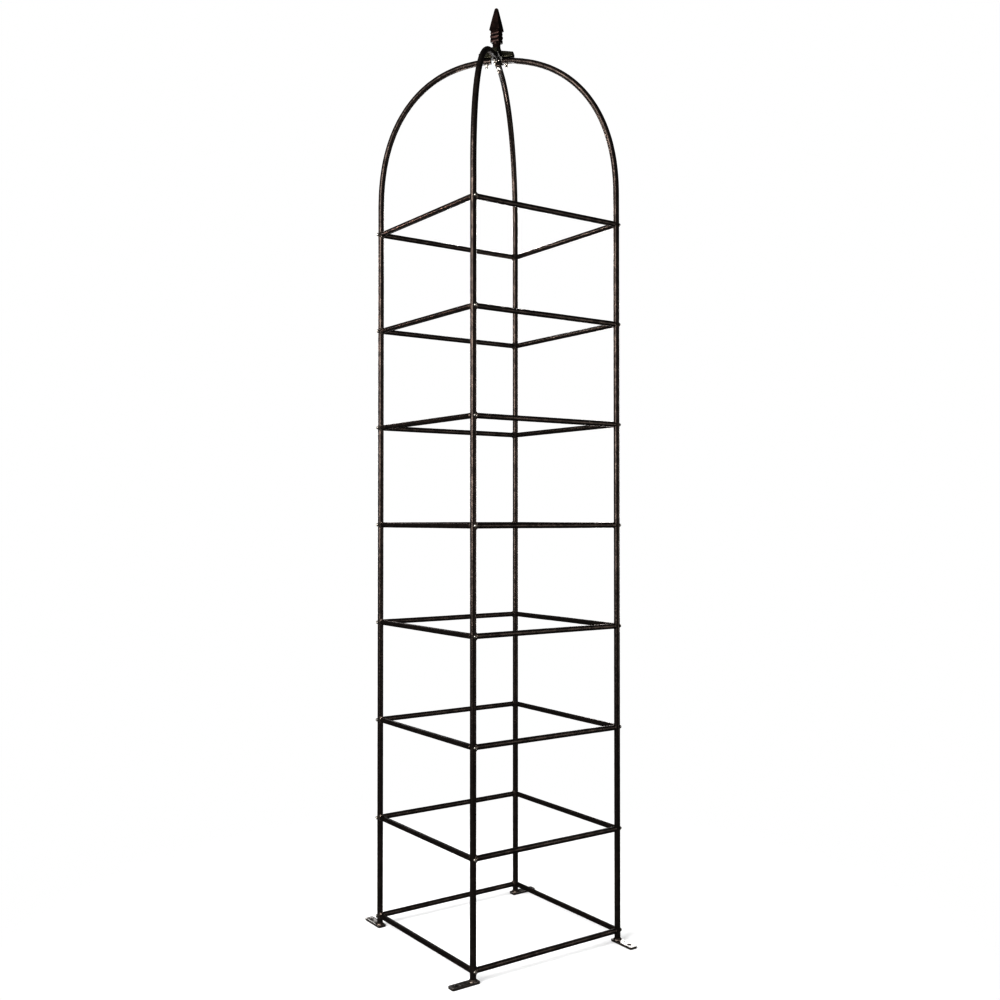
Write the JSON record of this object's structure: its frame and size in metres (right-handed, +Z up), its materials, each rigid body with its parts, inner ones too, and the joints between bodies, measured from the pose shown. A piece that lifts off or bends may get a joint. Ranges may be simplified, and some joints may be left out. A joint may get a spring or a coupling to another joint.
{
  "type": "garden obelisk",
  "caption": "Tall open garden obelisk of round iron bars: square legs bent over and bolted to a cast cross, ladder-like rungs, flat feet and a spear finial.",
  "frame": {"origin": "on the floor, at the middle of the square that the four legs stand on", "axes": "+Z up through the finial; +X and +Y along the sides of the square, with leg_front_left at -X -Y"},
  "size_m": [0.6144, 0.6144, 2.6162],
  "materials": {
    "leg_iron": "dark bronze-brown baked finish over forged bar, satin",
    "rung_iron": "dark bronze-brown baked finish over forged bar, satin",
    "foot_iron": "dark bronze-brown baked finish, scuffed",
    "hub_iron": "dark greenish brown baked finish over a casting",
    "finial_iron": "dark reddish brown over a sand casting",
    "fastener_steel": "blackened steel, worn at the edges"
  },
  "bodies": {
    "root": {"leg_front_left": "leg_iron", "leg_front_right": "leg_iron", "leg_back_right": "leg_iron", "leg_back_left": "leg_iron", "foot_front_left": "foot_iron", "foot_front_right": "foot_iron", "foot_back_right": "foot_iron", "foot_back_left": "foot_iron", "rung_front_1": "rung_iron", "rung_front_2": "rung_iron", "rung_front_3": "rung_iron", "rung_front_4": "rung_iron", "rung_front_5": "rung_iron", "rung_front_6": "rung_iron", "rung_front_7": "rung_iron", "rung_front_8": "rung_iron", "rung_right_1": "rung_iron", "rung_right_2": "rung_iron", "rung_right_3": "rung_iron", "rung_right_4": "rung_iron", "rung_right_5": "rung_iron", "rung_right_6": "rung_iron", "rung_right_7": "rung_iron", "rung_right_8": "rung_iron", "rung_back_1": "rung_iron", "rung_back_2": "rung_iron", "rung_back_3": "rung_iron", "rung_back_4": "rung_iron", "rung_back_5": "rung_iron", "rung_back_6": "rung_iron", "rung_back_7": "rung_iron", "rung_back_8": "rung_iron", "rung_left_1": "rung_iron", "rung_left_2": "rung_iron", "rung_left_3": "rung_iron", "rung_left_4": "rung_iron", "rung_left_5": "rung_iron", "rung_left_6": "rung_iron", "rung_left_7": "rung_iron", "rung_left_8": "rung_iron", "hub_cross": "hub_iron", "finial_spear": "finial_iron", "finial_bolt": "fastener_steel", "hub_stud_front_left": "fastener_steel", "hub_nut_front_left": "fastener_steel", "hub_stud_front_right": "fastener_steel", "hub_nut_front_right": "fastener_steel", "hub_stud_back_right": "fastener_steel", "hub_nut_back_right": "fastener_steel", "hub_stud_back_left": "fastener_steel", "hub_nut_back_left": "fastener_steel"}
  },
  "joints": []
}
